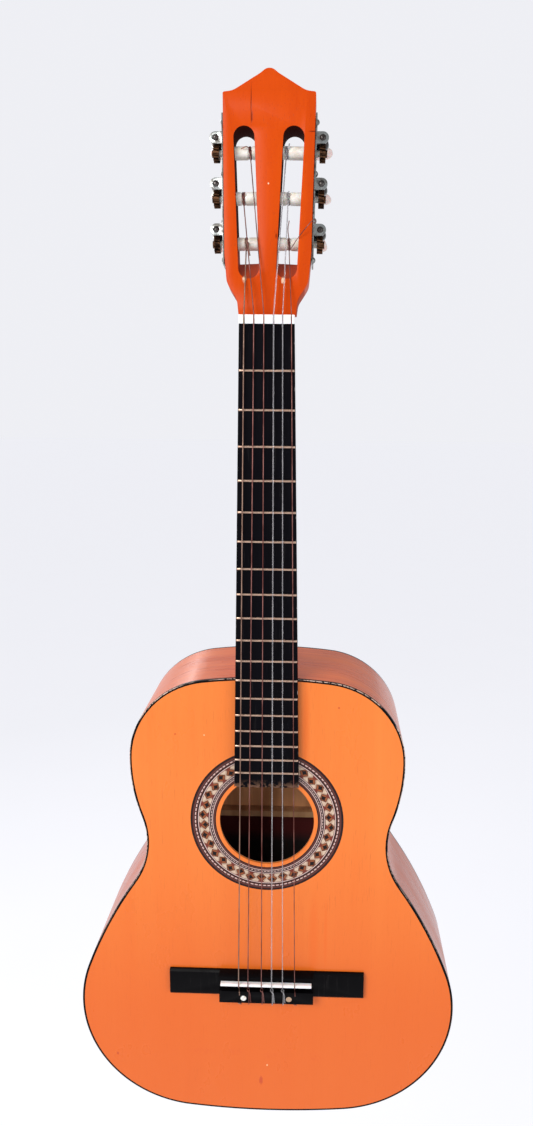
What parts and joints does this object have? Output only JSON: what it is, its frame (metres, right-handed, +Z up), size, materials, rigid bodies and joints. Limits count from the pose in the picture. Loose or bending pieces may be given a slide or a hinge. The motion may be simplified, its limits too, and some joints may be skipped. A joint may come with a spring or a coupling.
{
  "type": "classical guitar",
  "caption": "Three-quarter size classical guitar with a flat sound box, a fixed bridge and a slotted head whose worm-geared rollers are turned by paddle buttons.",
  "frame": {"origin": "the centreline at the nut, where the scale begins, in the plane of the fret crowns: where a wall hanger's fork holds the neck under the head", "axes": "+Z up the neck towards the head, -Y out of the soundboard towards the listener, +X towards the treble side"},
  "size_m": [0.348, 0.1068, 0.9255],
  "materials": {
    "soundboard_wood": "gloss varnish",
    "rosette_inlay": "varnished mosaic",
    "rib_wood": "gloss varnish",
    "binding_black": "gloss",
    "inner_wood": "bare",
    "black_wood": "satin",
    "white_plastic": "satin",
    "pearl": "gloss",
    "fret_metal": "worn",
    "neck_wood": "gloss varnish",
    "tuner_steel": "plated",
    "roller_plastic": "satin",
    "gear_brass": "tarnished",
    "worm_steel": "plated",
    "button_plastic": "pearl",
    "wound_string": "wound",
    "nylon_string": "clear"
  },
  "bodies": {
    "root": {"soundboard": "soundboard_wood", "rosette": "rosette_inlay", "back_panel": "rib_wood", "front_binding": "binding_black", "back_binding": "binding_black", "bass_side": "rib_wood", "treble_side": "rib_wood", "neck_block": "inner_wood", "tail_block": "inner_wood", "linings": "inner_wood", "soundboard_braces": "inner_wood", "back_braces": "inner_wood", "bridge": "black_wood", "saddle": "white_plastic", "bridge_inlays": "pearl", "fingerboard": "black_wood", "frets": "fret_metal", "nut": "white_plastic", "neck": "neck_wood", "heel_cap": "neck_wood", "headstock": "neck_wood", "tuner_plate_bass": "tuner_steel", "tuner_plate_treble": "tuner_steel", "plate_screws": "tuner_steel", "string_low_e": "wound_string", "string_a": "wound_string", "string_d": "wound_string", "string_g": "nylon_string", "string_b": "nylon_string", "string_high_e": "wound_string"},
    "roller_low_e": {"roller_low_e": "roller_plastic", "gear_low_e": "gear_brass", "string_turns_low_e": "wound_string"},
    "button_low_e": {"button_low_e": "button_plastic", "worm_low_e": "worm_steel"},
    "roller_a": {"roller_a": "roller_plastic", "gear_a": "gear_brass", "string_turns_a": "wound_string"},
    "button_a": {"button_a": "button_plastic", "worm_a": "worm_steel"},
    "roller_d": {"roller_d": "roller_plastic", "gear_d": "gear_brass", "string_turns_d": "wound_string"},
    "button_d": {"button_d": "button_plastic", "worm_d": "worm_steel"},
    "roller_g": {"roller_g": "roller_plastic", "gear_g": "gear_brass", "string_turns_g": "nylon_string"},
    "button_g": {"button_g": "button_plastic", "worm_g": "worm_steel"},
    "roller_b": {"roller_b": "roller_plastic", "gear_b": "gear_brass", "string_turns_b": "nylon_string"},
    "button_b": {"button_b": "button_plastic", "worm_b": "worm_steel"},
    "roller_high_e": {"roller_high_e": "roller_plastic", "gear_high_e": "gear_brass", "string_turns_high_e": "wound_string"},
    "button_high_e": {"button_high_e": "button_plastic", "worm_high_e": "worm_steel"}
  },
  "joints": [
    {"name": "button_low_e_spin", "type": "hinge", "parent": "root", "child": "button_low_e", "pos_m": [-0.04065, 0.02571, 0.07406], "axis": [0, 0.9893, -0.1461], "continuous": true},
    {"name": "roller_low_e_spin", "type": "hinge", "parent": "root", "child": "roller_low_e", "pos_m": [-0.03429, 0.02436, 0.06487], "axis": [0.9998, 0.0025, 0.0173], "continuous": true},
    {"name": "button_a_spin", "type": "hinge", "parent": "root", "child": "button_a", "pos_m": [-0.04126, 0.03083, 0.10868], "axis": [0, 0.9893, -0.1461], "continuous": true},
    {"name": "roller_a_spin", "type": "hinge", "parent": "root", "child": "roller_a", "pos_m": [-0.0349, 0.02947, 0.09949], "axis": [0.9998, 0.0025, 0.0173], "continuous": true},
    {"name": "button_d_spin", "type": "hinge", "parent": "root", "child": "button_d", "pos_m": [-0.04187, 0.03594, 0.1433], "axis": [0, 0.9893, -0.1461], "continuous": true},
    {"name": "roller_d_spin", "type": "hinge", "parent": "root", "child": "roller_d", "pos_m": [-0.03551, 0.03458, 0.13411], "axis": [0.9998, 0.0025, 0.0173], "continuous": true},
    {"name": "button_g_spin", "type": "hinge", "parent": "root", "child": "button_g", "pos_m": [0.04187, 0.03594, 0.1433], "axis": [0, 0.9893, -0.1461], "continuous": true},
    {"name": "roller_g_spin", "type": "hinge", "parent": "root", "child": "roller_g", "pos_m": [0.03551, 0.03458, 0.13411], "axis": [0.9998, -0.0025, -0.0173], "continuous": true},
    {"name": "button_b_spin", "type": "hinge", "parent": "root", "child": "button_b", "pos_m": [0.04126, 0.03083, 0.10868], "axis": [0, 0.9893, -0.1461], "continuous": true},
    {"name": "roller_b_spin", "type": "hinge", "parent": "root", "child": "roller_b", "pos_m": [0.0349, 0.02947, 0.09949], "axis": [0.9998, -0.0025, -0.0173], "continuous": true},
    {"name": "button_high_e_spin", "type": "hinge", "parent": "root", "child": "button_high_e", "pos_m": [0.04065, 0.02571, 0.07406], "axis": [0, 0.9893, -0.1461], "continuous": true},
    {"name": "roller_high_e_spin", "type": "hinge", "parent": "root", "child": "roller_high_e", "pos_m": [0.03429, 0.02436, 0.06487], "axis": [0.9998, -0.0025, -0.0173], "continuous": true}
  ],
  "couplings": [
    {"joint": "roller_low_e_spin", "follows": "button_low_e_spin", "ratio": 0.071429},
    {"joint": "roller_a_spin", "follows": "button_a_spin", "ratio": 0.071429},
    {"joint": "roller_d_spin", "follows": "button_d_spin", "ratio": 0.071429},
    {"joint": "roller_g_spin", "follows": "button_g_spin", "ratio": 0.071429},
    {"joint": "roller_b_spin", "follows": "button_b_spin", "ratio": 0.071429},
    {"joint": "roller_high_e_spin", "follows": "button_high_e_spin", "ratio": 0.071429}
  ]
}
